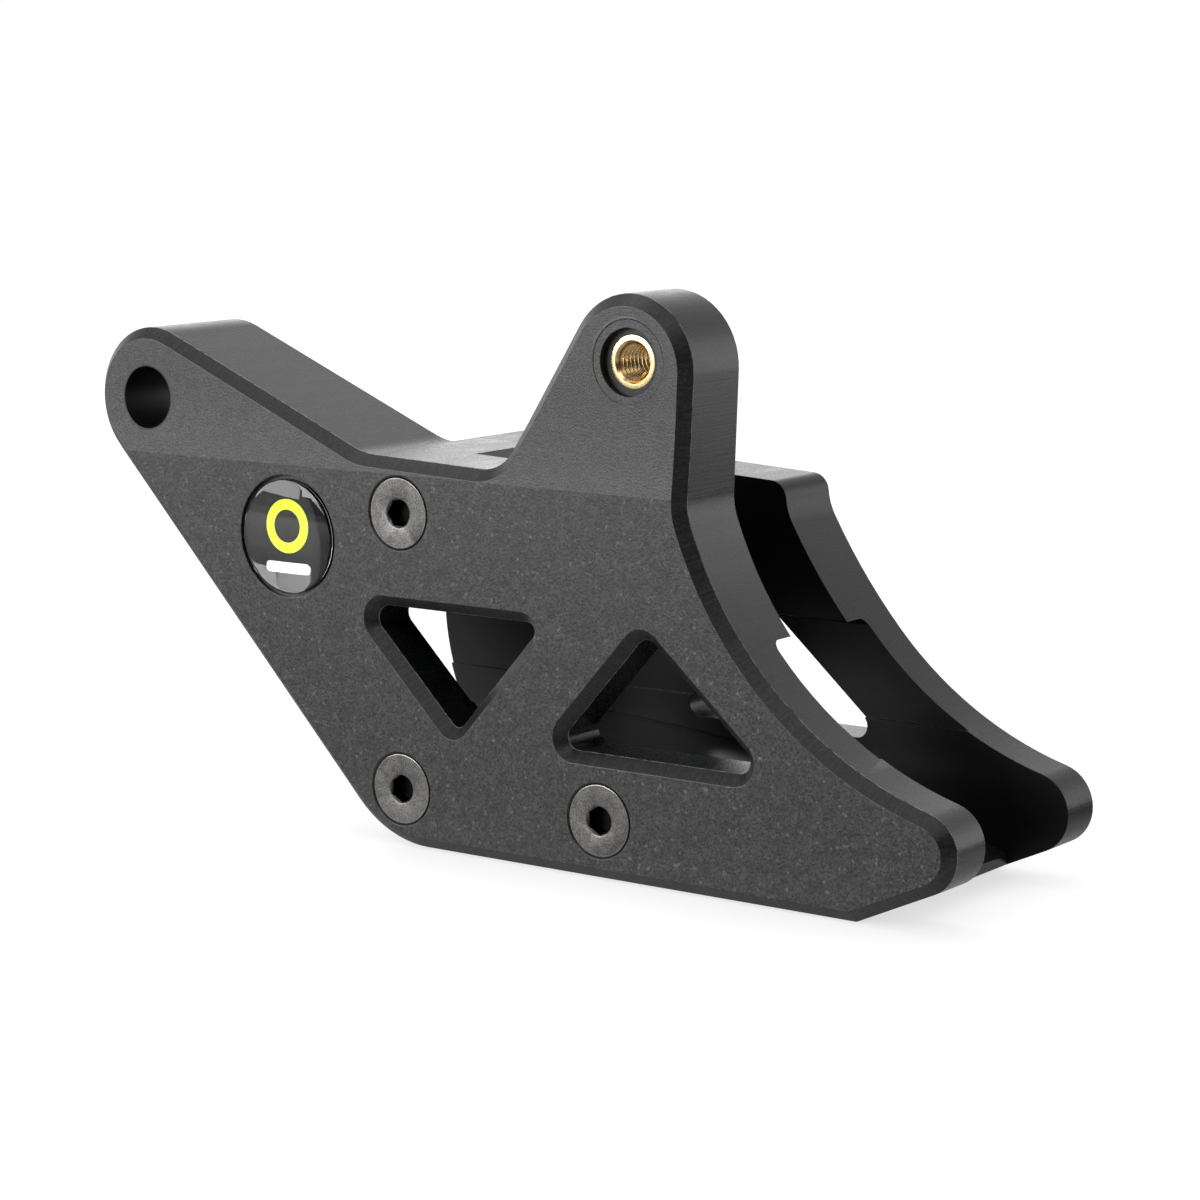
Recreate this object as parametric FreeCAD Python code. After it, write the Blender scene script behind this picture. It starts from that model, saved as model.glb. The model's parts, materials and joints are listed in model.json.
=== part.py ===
import FreeCAD
import Part
import math
import os

# Motorcycle chain guide, milled from black plastic plate. All lengths are millimetres.
# Origin: axis of the front mounting bore, in the chain's centre plane. X runs to the rear,
# Y runs across from the near side (-Y) to the far side (+Y), Z runs up.

# Width across the guide and the two channels in it
GUIDE_WIDTH = 45.2
CHEEK_THICKNESS = 14.5
TUNNEL_RECESS = 5.1
RUNNER_STEP = 0.5
ARM_DEPTH = 23.3

# Heights
TUNNEL_ROOF_Z = -31.0
TUNNEL_LEDGE_Z = -47.0
TUNNEL_CORNER_R = 1.5

# Front boss and bore
BOSS_R = 11.8
BORE_D = 10.5
ARM_SLOPE = 22.5
FRONT_SLOPE = 46.4
FRONT_CORNER_R = 20.0

# Valley between the boss arm and the ear
VALLEY_X = 50.0
VALLEY_Z = -6.6
VALLEY_SLOPE = 2.1
ARM_VALLEY_R = 12.0
EAR_VALLEY_R = 7.0

# Mounting ear
EAR_X = 99.6
EAR_Z = 9.9
EAR_R = 11.6
EAR_FLANK_ANGLE = 57.4
EAR_REAR_LEAN = 2.5
EAR_FOOT_R = 10.0

# Nose under the sprocket, and the rear arc that clears the sprocket
NOSE_X = 151.8
NOSE_Z = -58.36
NOSE_R = 6.4
ARC_R = 62.4
ARC_BITE = 4.0
UNDERSIDE_SLOPE = 24.5

# Far plate outline where it differs from the near side
FAR_FRONT_R = 41.0
FAR_FRONT_X = 35.8
FAR_FRONT_RISE = 34.8
FAR_TOP_SLOPE = 3.0
FAR_REAR_LAG = 2.2
FAR_REAR_DEPTH = 4.26
FAR_REAR_CORNER_R = 3.0
FAR_REAR_FOOT_R = 10.0
FAR_RUNOUT_ANGLE = 42.0

# End wall of the slot over the tunnel
SLOT_END_X = 59.6
SLOT_END_LEAN = 16.0

# Edge break round both outer faces and their windows
EDGE_CHAMFER = 1.8

# Upper part of the near face, set back behind a long hollow blend
FOLD_Z = -9.3
FOLD_ANGLE = 4.0
FOLD_R = 200.0

# Windows
FRONT_WINDOW_CORNER_R = 1.5
FRONT_WINDOW_LEAD_R = 2.2
REAR_WINDOW_CORNER_R = 2.0
FRONT_WINDOW_X = 65.8
FRONT_WINDOW_APEX_Z = -50.3
FRONT_WINDOW_TOP_Z = -31.0
FRONT_WINDOW_ANGLE = 44.6
REAR_WINDOW_X = 102.8
REAR_WINDOW_APEX_Z = -30.7
REAR_WINDOW_LOW_Z = -50.4
RIB_ANGLE = 48.3
REAR_WINDOW_ANGLE = 41.2

# Wear block, which the chain runs over
BLOCK_LEAD = 9.0
BLOCK_REAR_X = 147.8
BLOCK_CROWN_X = 62.0
BLOCK_CROWN_DROP = 20.5
BLOCK_DEPTH = 18.8
BLOCK_CROWN_R = 270.0
BLOCK_FRONT_R = 7.0

# Countersunk screws through the guide
UPPER_SCREW_X = 55.0
UPPER_SCREW_Z = -15.5
LOWER_SCREW_RISE = 9.5
REAR_SCREW_X = 94.8
SCREW_D = 6.0
SCREW_HEAD_D = 11.5
SCREW_RIM_H = 0.3
SCREW_TIP_SINK = 0.1
SCREW_TIP_CHAMFER = 0.8
SOCKET_AF = 4.0
SOCKET_DEPTH = 2.5
SOCKET_MOUTH_D = 4.9
HEAD_SINK = 0.1
SCREW_HOLE_CLEARANCE = 0.2
UPPER_SOCKET_TURN = 0.0
FRONT_SOCKET_TURN = 30.0
REAR_SOCKET_TURN = 30.0

# Lock nuts in hexagonal pockets of the far plate
NUT_AF = 10.0
NUT_H = 6.0
NUT_BODY_H = 4.4
NUT_COLLAR_D = 9.3
NUT_POCKET_DEPTH = 6.5
NUT_POCKET_CLEARANCE = 0.1
THREAD_CLEARANCE = 0.05
RING_D = 7.8
RING_H = 1.3
RING_LIP = 0.2
UPPER_NUT_TURN = 0.0
FRONT_NUT_TURN = 20.0
REAR_NUT_TURN = 0.0

# Brass insert in the ear
INSERT_X = 100.2
INSERT_Z = 11.1
INSERT_D = 8.3
INSERT_LENGTH = 10.0
INSERT_BORE_D = 5.0
INSERT_MOUTH_D = 6.4
INSERT_SINK = 1.2
INSERT_MOUTH_CLEARANCE = 1.1
SPOTFACE_R = 6.6
SPOTFACE_DEPTH = 0.12
EAR_THROUGH_D = 6.6

# Round badge let into the near face
BADGE_X = 31.3
BADGE_Z = -21.2
BADGE_D = 19.0
BADGE_GAP = 0.75
BADGE_RECESS_DEPTH = 1.0
BADGE_BASE_H = 0.4
BADGE_EDGE_H = 0.7
BADGE_DOME_H = 1.5

# Planes and centres that follow from the sizes
NEAR_Y = -GUIDE_WIDTH / 2
FAR_Y = GUIDE_WIDTH / 2
SLOT_Y = FAR_Y - CHEEK_THICKNESS
TUNNEL_Y = SLOT_Y + TUNNEL_RECESS
RUNNER_Y = TUNNEL_Y - RUNNER_STEP
ARM_BACK_Y = NEAR_Y + ARM_DEPTH
BLOCK_FRONT_X = UPPER_SCREW_X - BLOCK_LEAD
BLOCK_CROWN_Z = TUNNEL_ROOF_Z - BLOCK_CROWN_DROP
BOTTOM_Z = BLOCK_CROWN_Z - BLOCK_DEPTH
LOWER_SCREW_Z = BOTTOM_Z + LOWER_SCREW_RISE
FOLD_DEPTH = FOLD_R * (1 - math.cos(math.radians(FOLD_ANGLE)))
BLEND_TOP_Z = FOLD_Z + FOLD_R * math.sin(math.radians(FOLD_ANGLE))
SPOTFACE_Y = NEAR_Y + FOLD_DEPTH + SPOTFACE_DEPTH
BADGE_FLOOR_Y = NEAR_Y + BADGE_RECESS_DEPTH
NUT_SEAT_Y = FAR_Y - NUT_POCKET_DEPTH
HEAD_TOP_Y = NEAR_Y + HEAD_SINK
OVERCUT = 5.0
SPAN = 400.0

BORE = (0.0, 0.0)
EAR = (EAR_X, EAR_Z)
INSERT = (INSERT_X, INSERT_Z)
BADGE = (BADGE_X, BADGE_Z)
FAR_FRONT = (FAR_FRONT_X + FAR_FRONT_R, BOTTOM_Z + FAR_FRONT_RISE)
VALLEY = (VALLEY_X, VALLEY_Z)
UPPER_SCREW = (UPPER_SCREW_X, UPPER_SCREW_Z)
FRONT_SCREW = (UPPER_SCREW_X, LOWER_SCREW_Z)
REAR_SCREW = (REAR_SCREW_X, LOWER_SCREW_Z)


# Plane geometry in X and Z
def moved(point, angle_deg, length):
    """Point shifted by a length along an angle from +X towards +Z."""
    a = math.radians(angle_deg)
    return (point[0] + length * math.cos(a), point[1] + length * math.sin(a))


def meet(p, angle_p, q, angle_q):
    """Crossing of two lines, each a point and an angle."""
    a = moved((0.0, 0.0), angle_p, 1.0)
    b = moved((0.0, 0.0), angle_q, 1.0)
    det = a[0] * b[1] - a[1] * b[0]
    t = ((q[0] - p[0]) * b[1] - (q[1] - p[1]) * b[0]) / det
    return (p[0] + t * a[0], p[1] + t * a[1])


def at_height(p, angle, z):
    """Point of a line at a height."""
    return meet(p, angle, (0.0, z), 0.0)


def way_out(p, angle, centre, radius):
    """Where a line from a point inside a circle leaves it."""
    d = moved((0.0, 0.0), angle, 1.0)
    rel = (p[0] - centre[0], p[1] - centre[1])
    b = rel[0] * d[0] + rel[1] * d[1]
    c = rel[0] ** 2 + rel[1] ** 2 - radius ** 2
    return moved(p, angle, -b + math.sqrt(b * b - c))


# Bars that run along Y
def vector(point, y):
    """Space point of a plane point at a depth."""
    return FreeCAD.Vector(point[0], y, point[1])


def outline(steps, y0, y1):
    """Bar between two Y planes. Each step is an end point, or a middle and an end point of an arc."""
    edges = []
    here = steps[-1][1] if isinstance(steps[-1][0], tuple) else steps[-1]
    for step in steps:
        if isinstance(step[0], tuple):
            middle, end = step
            edges.append(Part.Arc(vector(here, y0), vector(middle, y0), vector(end, y0)).toShape())
        else:
            end = step
            edges.append(Part.makeLine(vector(here, y0), vector(end, y0)))
        here = end
    return Part.Face(Part.Wire(edges)).extrude(FreeCAD.Vector(0, y1 - y0, 0))


def disc(centre, radius, y0, y1):
    """Round bar between two Y planes."""
    return Part.makeCylinder(radius, y1 - y0, vector(centre, y0), FreeCAD.Vector(0, 1, 0))


def hexagon(centre, across_flats, turn, y0, y1):
    """Hexagonal bar between two Y planes, with its first corner at a turn."""
    corners = [moved(centre, turn + 60 * k, across_flats / math.sqrt(3)) for k in range(6)]
    return outline(corners, y0, y1)


def band(z0, z1, y0, y1):
    """Block over the whole length, between two heights and two Y planes."""
    return Part.makeBox(2 * SPAN, y1 - y0, z1 - z0, FreeCAD.Vector(-SPAN, y0, z0))


def turned_part(centre, profile):
    """Solid of revolution about an axis along Y, from (radius, y) points."""
    points = [FreeCAD.Vector(centre[0] + r, y, centre[1]) for r, y in profile]
    face = Part.Face(Part.makePolygon(points + points[:1]))
    return face.revolve(vector(centre, 0.0), FreeCAD.Vector(0, 1, 0), 360)


def runs_along_y(edge):
    """True for a straight edge along Y."""
    if edge.Curve.TypeId != "Part::GeomLine":
        return False
    return abs(edge.tangentAt(edge.FirstParameter).y) > 0.999


def round_corners(solid, corners):
    """Rounds the edges along Y nearest to each corner point, with that corner's radius."""
    for point, radius in corners:
        upright = [e for e in solid.Edges if runs_along_y(e)]
        target = FreeCAD.Vector(point[0], 0, point[1])
        edge = min(upright, key=lambda e: FreeCAD.Vector(
            e.CenterOfMass.x, 0, e.CenterOfMass.z).distanceToPoint(target))
        solid = solid.makeFillet(radius, [edge])
    return solid


def break_face_edges(solid, y0, y1, seams=()):
    """Chamfers every edge of the outer face between two Y planes, apart from the level seams across it."""
    tolerance = 1e-4
    edges = []
    for edge in solid.Edges:
        box = edge.BoundBox
        is_seam = box.ZLength < tolerance and any(abs(box.ZMin - z) < tolerance for z in seams)
        if box.YMin > y0 - tolerance and box.YMax < y1 + tolerance and not is_seam:
            edges.append(edge)
    return solid.makeChamfer(EDGE_CHAMFER, edges)


# Points that both plates share. The rear arc touches the nose, and bites in front of the ear's rear side.
NOSE = (NOSE_X, NOSE_Z)
ARC_FRONT_X = EAR_X + EAR_R - ARC_BITE
NOSE_ANGLE = math.degrees(math.asin((ARC_FRONT_X + ARC_R - NOSE_X) / (ARC_R + NOSE_R)))
ARC = moved(NOSE, 90 - NOSE_ANGLE, ARC_R + NOSE_R)
NOSE_TOP = moved(ARC, 270 - NOSE_ANGLE, ARC_R)
RUNOUT = moved(ARC, 180 + FAR_RUNOUT_ANGLE, ARC_R)
ARC_MIDDLE = moved(ARC, (450 + FAR_RUNOUT_ANGLE - NOSE_ANGLE) / 2, ARC_R)
NOSE_TIP = moved(NOSE, 0, NOSE_R)
NOSE_LOW = moved(NOSE, UNDERSIDE_SLOPE - 90, NOSE_R)
UNDERSIDE = at_height(NOSE_LOW, UNDERSIDE_SLOPE, BOTTOM_Z)


def near_blank(y0, y1):
    """Plate with the outline of the near side: boss, valley, ear, rear arc, nose and bottom."""
    boss_top = moved(BORE, 90 - ARM_SLOPE, BOSS_R)
    boss_front = moved(BORE, 180, BOSS_R)
    boss_low = moved(BORE, 270 - FRONT_SLOPE, BOSS_R)
    bottom_front = at_height(boss_low, -FRONT_SLOPE, BOTTOM_Z)
    ear_rear = moved(EAR, -EAR_REAR_LEAN, EAR_R)
    ear_top = moved(EAR, 90, EAR_R)
    ear_front = moved(EAR, 90 + EAR_FLANK_ANGLE, EAR_R)
    ear_foot = way_out(ear_rear, -90 - EAR_REAR_LEAN, ARC, ARC_R)
    valley_rear = meet(VALLEY, -VALLEY_SLOPE, ear_front, EAR_FLANK_ANGLE)
    valley_front = meet(VALLEY, -VALLEY_SLOPE, boss_top, -ARM_SLOPE)
    plate = outline([
        bottom_front, UNDERSIDE, NOSE_LOW, (NOSE_TIP, NOSE_TOP), (ARC_MIDDLE, ear_foot),
        ear_rear, (ear_top, ear_front), valley_rear, valley_front, boss_top,
        (boss_front, boss_low)], y0, y1)
    return round_corners(plate, [
        (valley_front, ARM_VALLEY_R), (valley_rear, EAR_VALLEY_R),
        (ear_foot, EAR_FOOT_R), (bottom_front, FRONT_CORNER_R)])


def far_blank(y0, y1):
    """Plate with the outline of the far side: round front end, flat top, rear arc, nose and bottom."""
    crest = (FAR_FRONT[0], meet(VALLEY, -FAR_TOP_SLOPE, FAR_FRONT, 90)[1])
    top_front = way_out(crest, 180 - FAR_TOP_SLOPE, FAR_FRONT, FAR_FRONT_R)
    bottom_front = way_out((FAR_FRONT[0], BOTTOM_Z), 180, FAR_FRONT, FAR_FRONT_R)
    front_middle = moved(FAR_FRONT, 180, FAR_FRONT_R)
    rear_x = ARC_FRONT_X + FAR_REAR_LAG
    top_rear = meet(VALLEY, -FAR_TOP_SLOPE, (rear_x, 0.0), 90)
    rear_foot = moved(top_rear, -90, FAR_REAR_DEPTH)
    chord = (rear_foot[0] - RUNOUT[0], rear_foot[1] - RUNOUT[1])
    toward = moved((0.0, 0.0), FAR_RUNOUT_ANGLE, 1.0)
    runout_r = (chord[0] ** 2 + chord[1] ** 2) / (2 * (chord[0] * toward[0] + chord[1] * toward[1]))
    flat_arc = moved(RUNOUT, FAR_RUNOUT_ANGLE, runout_r)
    chord_angle = math.degrees(math.atan2(chord[1], chord[0]))
    flat_middle = moved(flat_arc, chord_angle + 90, runout_r)
    plate = outline([
        UNDERSIDE, NOSE_LOW, (NOSE_TIP, NOSE_TOP), (ARC_MIDDLE, RUNOUT), (flat_middle, rear_foot),
        top_rear, top_front, (front_middle, bottom_front)], y0, y1)
    return round_corners(plate, [(top_rear, FAR_REAR_CORNER_R), (rear_foot, FAR_REAR_FOOT_R)])


# Cutters
def front_window():
    """Triangle on its apex, whose rear side runs along the rib between the windows."""
    apex = (FRONT_WINDOW_X, FRONT_WINDOW_APEX_Z)
    front = at_height(apex, -FRONT_WINDOW_ANGLE, FRONT_WINDOW_TOP_Z)
    rear = at_height(apex, RIB_ANGLE, FRONT_WINDOW_TOP_Z)
    bar = outline([apex, rear, front], NEAR_Y - OVERCUT, FAR_Y + OVERCUT)
    return round_corners(bar, [
        (apex, FRONT_WINDOW_CORNER_R), (rear, FRONT_WINDOW_CORNER_R), (front, FRONT_WINDOW_LEAD_R)])


def rear_window():
    """Triangle on its base, whose front side runs along the rib between the windows."""
    apex = (REAR_WINDOW_X, REAR_WINDOW_APEX_Z)
    front = at_height(apex, RIB_ANGLE, REAR_WINDOW_LOW_Z)
    rear = at_height(apex, -REAR_WINDOW_ANGLE, REAR_WINDOW_LOW_Z)
    corners = [apex, front, rear]
    bar = outline(corners, NEAR_Y - OVERCUT, FAR_Y + OVERCUT)
    return round_corners(bar, [(corner, REAR_WINDOW_CORNER_R) for corner in corners])


def chain_channel():
    """Tunnel for the chain with rounded roof corners, and the narrower channel of the wear block."""
    tunnel = band(TUNNEL_LEDGE_Z, TUNNEL_ROOF_Z, -TUNNEL_Y, TUNNEL_Y)
    roof = [e for e in tunnel.Edges if e.Length > SPAN and e.CenterOfMass.z > TUNNEL_LEDGE_Z + 1e-6]
    tunnel = tunnel.makeFillet(TUNNEL_CORNER_R, roof)
    return tunnel.fuse(band(BOTTOM_Z - SPAN, TUNNEL_LEDGE_Z, -RUNNER_Y, RUNNER_Y))


def slot_pocket():
    """Room between the plates over the tunnel, behind the leaning end wall of the slot."""
    wall = (SLOT_END_X, meet(VALLEY, -VALLEY_SLOPE, (SLOT_END_X, 0.0), 90)[1])
    lean = SLOT_END_LEAN - 90
    wall_low = at_height(wall, lean, TUNNEL_ROOF_Z)
    wall_high = at_height(wall, lean, SPAN)
    return outline([wall_low, wall_high, (SPAN, SPAN), (SPAN, TUNNEL_ROOF_Z)], -SLOT_Y, SPAN)


def arm_back():
    """Room behind the boss arm, in front of the round shoulder that meets the far plate."""
    room = band(TUNNEL_ROOF_Z, SPAN, ARM_BACK_Y, SPAN)
    return room.cut(disc(FAR_FRONT, FAR_FRONT_R, ARM_BACK_Y, SPAN))


def upper_setback():
    """Room in front of the upper near face: a hollow blend above the fold, then flat."""
    centre = FreeCAD.Vector(-SPAN, NEAR_Y + FOLD_DEPTH - FOLD_R, BLEND_TOP_Z)
    blend = Part.makeCylinder(FOLD_R, 2 * SPAN, centre, FreeCAD.Vector(1, 0, 0))
    return blend.fuse(band(BLEND_TOP_Z, SPAN, NEAR_Y - OVERCUT, NEAR_Y + FOLD_DEPTH))


def countersink(centre):
    """Hole for a screw, with the cone that its head sits in."""
    seat_r = SCREW_HEAD_D / 2 + HEAD_SINK + SCREW_RIM_H
    hole_r = SCREW_D / 2 + SCREW_HOLE_CLEARANCE
    cone = turned_part(centre, [
        (0.0, NEAR_Y), (seat_r, NEAR_Y), (hole_r, NEAR_Y + seat_r - hole_r), (0.0, NEAR_Y + seat_r - hole_r)])
    return cone.fuse(screw_hole(centre))


def screw_hole(centre):
    """Clearance hole for a screw through the whole guide."""
    return disc(centre, SCREW_D / 2 + SCREW_HOLE_CLEARANCE, NEAR_Y - OVERCUT, FAR_Y + OVERCUT)


def insert_hole():
    """Spot face, counterbore, seat and through hole of the threaded insert."""
    seat_y = SPOTFACE_Y + INSERT_SINK
    spot = disc(INSERT, SPOTFACE_R, NEAR_Y - OVERCUT, SPOTFACE_Y)
    mouth = disc(INSERT, INSERT_D / 2 + INSERT_MOUTH_CLEARANCE, NEAR_Y - OVERCUT, seat_y)
    seat = disc(INSERT, INSERT_D / 2, NEAR_Y - OVERCUT, seat_y + INSERT_LENGTH)
    through = disc(INSERT, EAR_THROUGH_D / 2, NEAR_Y - OVERCUT, FAR_Y)
    return spot.fuse([mouth, seat, through])


# Pieces
def side_body():
    """Near plate with boss, arm, ear and the shoulder that meets the far plate, milled from one block."""
    body = near_blank(NEAR_Y, SLOT_Y).cut([front_window(), rear_window(), upper_setback()])
    body = break_face_edges(body, NEAR_Y, NEAR_Y + FOLD_DEPTH, (FOLD_Z, BLEND_TOP_Z))
    body = body.cut([slot_pocket(), chain_channel(), arm_back()])
    body = body.cut([insert_hole(), disc(BORE, BORE_D / 2, NEAR_Y - OVERCUT, FAR_Y)])
    badge_recess = disc(BADGE, BADGE_D / 2 + BADGE_GAP, NEAR_Y - OVERCUT, BADGE_FLOOR_Y)
    sinks = [countersink(centre) for centre in (UPPER_SCREW, FRONT_SCREW, REAR_SCREW)]
    return body.cut([badge_recess] + sinks).removeSplitter()


def far_plate():
    """Far cheek with one window, the tunnel's other half and the pockets of the lock nuts."""
    plate = far_blank(SLOT_Y, FAR_Y).cut(rear_window())
    plate = break_face_edges(plate, FAR_Y, FAR_Y)
    plate = plate.cut(chain_channel())
    for centre, turn in NUTS.values():
        pocket_af = NUT_AF + 2 * NUT_POCKET_CLEARANCE
        plate = plate.cut(hexagon(centre, pocket_af, turn, NUT_SEAT_Y, FAR_Y + OVERCUT))
        plate = plate.cut(screw_hole(centre))
    return plate


def wear_block():
    """Block that the chain runs over, crowned along its length and trimmed to the body's outline."""
    crown = (BLOCK_CROWN_X, BLOCK_CROWN_Z - BLOCK_CROWN_R)
    raw = Part.makeBox(BLOCK_REAR_X - BLOCK_FRONT_X, 2 * RUNNER_Y, BLOCK_CROWN_Z - BOTTOM_Z,
                       FreeCAD.Vector(BLOCK_FRONT_X, -RUNNER_Y, BOTTOM_Z))
    raw = raw.common(disc(crown, BLOCK_CROWN_R, -RUNNER_Y, RUNNER_Y))
    raw = raw.common(near_blank(-RUNNER_Y, RUNNER_Y))
    lead = (BLOCK_FRONT_X, BLOCK_CROWN_Z)
    block = round_corners(raw, [(lead, BLOCK_FRONT_R)])
    return block.cut([screw_hole(FRONT_SCREW), screw_hole(REAR_SCREW)])


def screw(centre, turn):
    """Countersunk socket screw, head on the near side."""
    head_r = SCREW_HEAD_D / 2
    shank_r = SCREW_D / 2
    rim_y = HEAD_TOP_Y + SCREW_RIM_H
    tip_y = FAR_Y - SCREW_TIP_SINK
    body = turned_part(centre, [
        (0.0, HEAD_TOP_Y), (head_r, HEAD_TOP_Y), (head_r, rim_y), (shank_r, rim_y + head_r - shank_r),
        (shank_r, tip_y - SCREW_TIP_CHAMFER), (shank_r - SCREW_TIP_CHAMFER, tip_y), (0.0, tip_y)])
    mouth_r = SOCKET_MOUTH_D / 2
    flat_r = SOCKET_AF / 2
    mouth = turned_part(centre, [
        (0.0, HEAD_TOP_Y), (mouth_r, HEAD_TOP_Y), (flat_r, HEAD_TOP_Y + mouth_r - flat_r),
        (0.0, HEAD_TOP_Y + mouth_r - flat_r)])
    socket = hexagon(centre, SOCKET_AF, turn, HEAD_TOP_Y - OVERCUT, HEAD_TOP_Y + SOCKET_DEPTH)
    return body.cut([mouth, socket])


def lock_nut(centre, turn):
    """Hexagon nut with a round collar that holds the locking ring."""
    hexed = hexagon(centre, NUT_AF, turn, NUT_SEAT_Y, NUT_SEAT_Y + NUT_BODY_H)
    corner_r = NUT_AF / math.sqrt(3)
    collar_r = NUT_COLLAR_D / 2
    shoulder = (corner_r - collar_r) * math.tan(math.radians(30))
    shoulder_y = NUT_SEAT_Y + NUT_BODY_H
    envelope = turned_part(centre, [
        (0.0, NUT_SEAT_Y), (corner_r, NUT_SEAT_Y), (corner_r, shoulder_y - shoulder),
        (collar_r, shoulder_y), (0.0, shoulder_y)])
    collar = disc(centre, collar_r, NUT_SEAT_Y, NUT_SEAT_Y + NUT_H)
    ring_y = NUT_SEAT_Y + NUT_H - RING_LIP - RING_H
    bore = disc(centre, SCREW_D / 2 + THREAD_CLEARANCE, NUT_SEAT_Y - OVERCUT, FAR_Y + OVERCUT)
    ring_seat = disc(centre, RING_D / 2, ring_y, FAR_Y + OVERCUT)
    return hexed.common(envelope).fuse(collar).cut([bore, ring_seat]).removeSplitter()


def lock_ring(centre):
    """Plastic ring in the collar of a lock nut."""
    top_y = NUT_SEAT_Y + NUT_H - RING_LIP
    ring = disc(centre, RING_D / 2, top_y - RING_H, top_y)
    return ring.cut(disc(centre, SCREW_D / 2 + THREAD_CLEARANCE, NUT_SEAT_Y, FAR_Y))


def ear_insert():
    """Brass bush with the thread for the bracket bolt."""
    face_y = SPOTFACE_Y + INSERT_SINK
    lead = (INSERT_MOUTH_D - INSERT_BORE_D) / 2
    outer_r = INSERT_D / 2
    bore_r = INSERT_BORE_D / 2
    return turned_part(INSERT, [
        (bore_r + lead, face_y), (outer_r, face_y), (outer_r, face_y + INSERT_LENGTH),
        (bore_r + lead, face_y + INSERT_LENGTH), (bore_r, face_y + INSERT_LENGTH - lead),
        (bore_r, face_y + lead)])


def badge_base():
    """Printed disc at the bottom of the badge recess."""
    return disc(BADGE, BADGE_D / 2, BADGE_FLOOR_Y - BADGE_BASE_H, BADGE_FLOOR_Y)


def badge_dome():
    """Clear domed cover over the printed disc."""
    seat_y = BADGE_FLOOR_Y - BADGE_BASE_H
    radius = BADGE_D / 2
    rise = BADGE_DOME_H - BADGE_EDGE_H
    sphere_r = (radius ** 2 + rise ** 2) / (2 * rise)
    puck = disc(BADGE, radius, seat_y - BADGE_DOME_H, seat_y)
    centre = vector(BADGE, seat_y - BADGE_DOME_H + sphere_r)
    return puck.common(Part.makeSphere(sphere_r, centre))


# Place of each screw and nut, and the turn of its hexagon's first corner from +X
SOCKETS = {
    "upper": (UPPER_SCREW, UPPER_SOCKET_TURN),
    "front": (FRONT_SCREW, FRONT_SOCKET_TURN),
    "rear": (REAR_SCREW, REAR_SOCKET_TURN),
}
NUTS = {
    "upper": (UPPER_SCREW, UPPER_NUT_TURN),
    "front": (FRONT_SCREW, FRONT_NUT_TURN),
    "rear": (REAR_SCREW, REAR_NUT_TURN),
}


def pieces():
    """Every piece by its node name."""
    made = {
        "side_body": side_body(),
        "far_plate": far_plate(),
        "wear_block": wear_block(),
        "ear_insert": ear_insert(),
        "badge_base": badge_base(),
        "badge_dome": badge_dome(),
    }
    for place, (centre, turn) in SOCKETS.items():
        made[f"screw_{place}"] = screw(centre, turn)
    for place, (centre, turn) in NUTS.items():
        made[f"nut_{place}"] = lock_nut(centre, turn)
        made[f"nut_ring_{place}"] = lock_ring(centre)
    return made


def main():
    """Writes one file for each piece."""
    os.makedirs("parts", exist_ok=True)
    for name, shape in pieces().items():
        shape.exportStep(f"parts/{name}.step")
        print(name, shape.isValid(), len(shape.Solids), round(shape.Volume, 1))


main()
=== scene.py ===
import json
import logging
import math
from dataclasses import dataclass
from enum import Enum
from typing import Any, Callable

import bpy
from mathutils import Matrix, Vector

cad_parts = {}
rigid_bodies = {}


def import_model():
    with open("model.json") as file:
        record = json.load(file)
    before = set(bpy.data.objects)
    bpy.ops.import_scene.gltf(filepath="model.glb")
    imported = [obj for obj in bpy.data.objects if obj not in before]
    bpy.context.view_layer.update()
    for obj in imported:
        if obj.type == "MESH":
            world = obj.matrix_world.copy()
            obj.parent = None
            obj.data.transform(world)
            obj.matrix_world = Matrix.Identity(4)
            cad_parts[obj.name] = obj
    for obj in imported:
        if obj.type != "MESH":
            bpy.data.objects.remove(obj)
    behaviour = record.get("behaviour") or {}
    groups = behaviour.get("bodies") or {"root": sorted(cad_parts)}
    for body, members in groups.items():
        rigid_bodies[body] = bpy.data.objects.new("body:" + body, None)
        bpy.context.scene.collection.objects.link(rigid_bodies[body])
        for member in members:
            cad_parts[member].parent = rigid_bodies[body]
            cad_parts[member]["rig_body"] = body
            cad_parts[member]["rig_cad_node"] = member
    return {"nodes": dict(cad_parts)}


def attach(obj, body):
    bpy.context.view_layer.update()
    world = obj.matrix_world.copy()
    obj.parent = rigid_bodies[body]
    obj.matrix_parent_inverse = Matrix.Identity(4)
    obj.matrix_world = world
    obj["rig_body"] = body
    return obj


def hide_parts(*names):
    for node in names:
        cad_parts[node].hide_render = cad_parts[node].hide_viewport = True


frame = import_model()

log = logging.getLogger("chain_guide")

# One millimetre, and the distance under which two points are one, in metres.
MM = 0.001
SAME_PLACE = 1e-6

# Places on the guide, in millimetres: its near face, the fold across it, the insert and the screws.
NEAR_Y = -22.6
FOLD_Z = -9.3
INSERT_PLACE = (100.2, 11.1)
SCREW_PLACES = (("upper", 55.0, -15.5), ("front", 55.0, -60.8), ("rear", 94.8, -60.8))

# Angles between two faces, in degrees: under the first they are joined, past the second their edge is
# bevelled, and past the third what is left of it stays sharp.
FLAT_ANGLE = 0.6
EASED_ANGLE = 28
SHARP_ANGLE = 26

Socket = bpy.types.NodeSocket
Span = tuple[float, float]
Colour = tuple[float, float, float, float]
Place = tuple[float, float, float]


class Slot(Enum):
    """Material slots of the record."""

    BODY = "body_plastic"
    RUNNER = "runner_plastic"
    BRASS = "insert_brass"
    PRINT = "badge_print"
    CLEAR = "badge_clear"
    SCREW = "screw_steel"
    NUT = "nut_steel"
    RING = "nut_ring"


class Cheek(Enum):
    """Which of the two plates a plastic finish is for."""

    NEAR = "near"
    FAR = "far"


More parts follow.
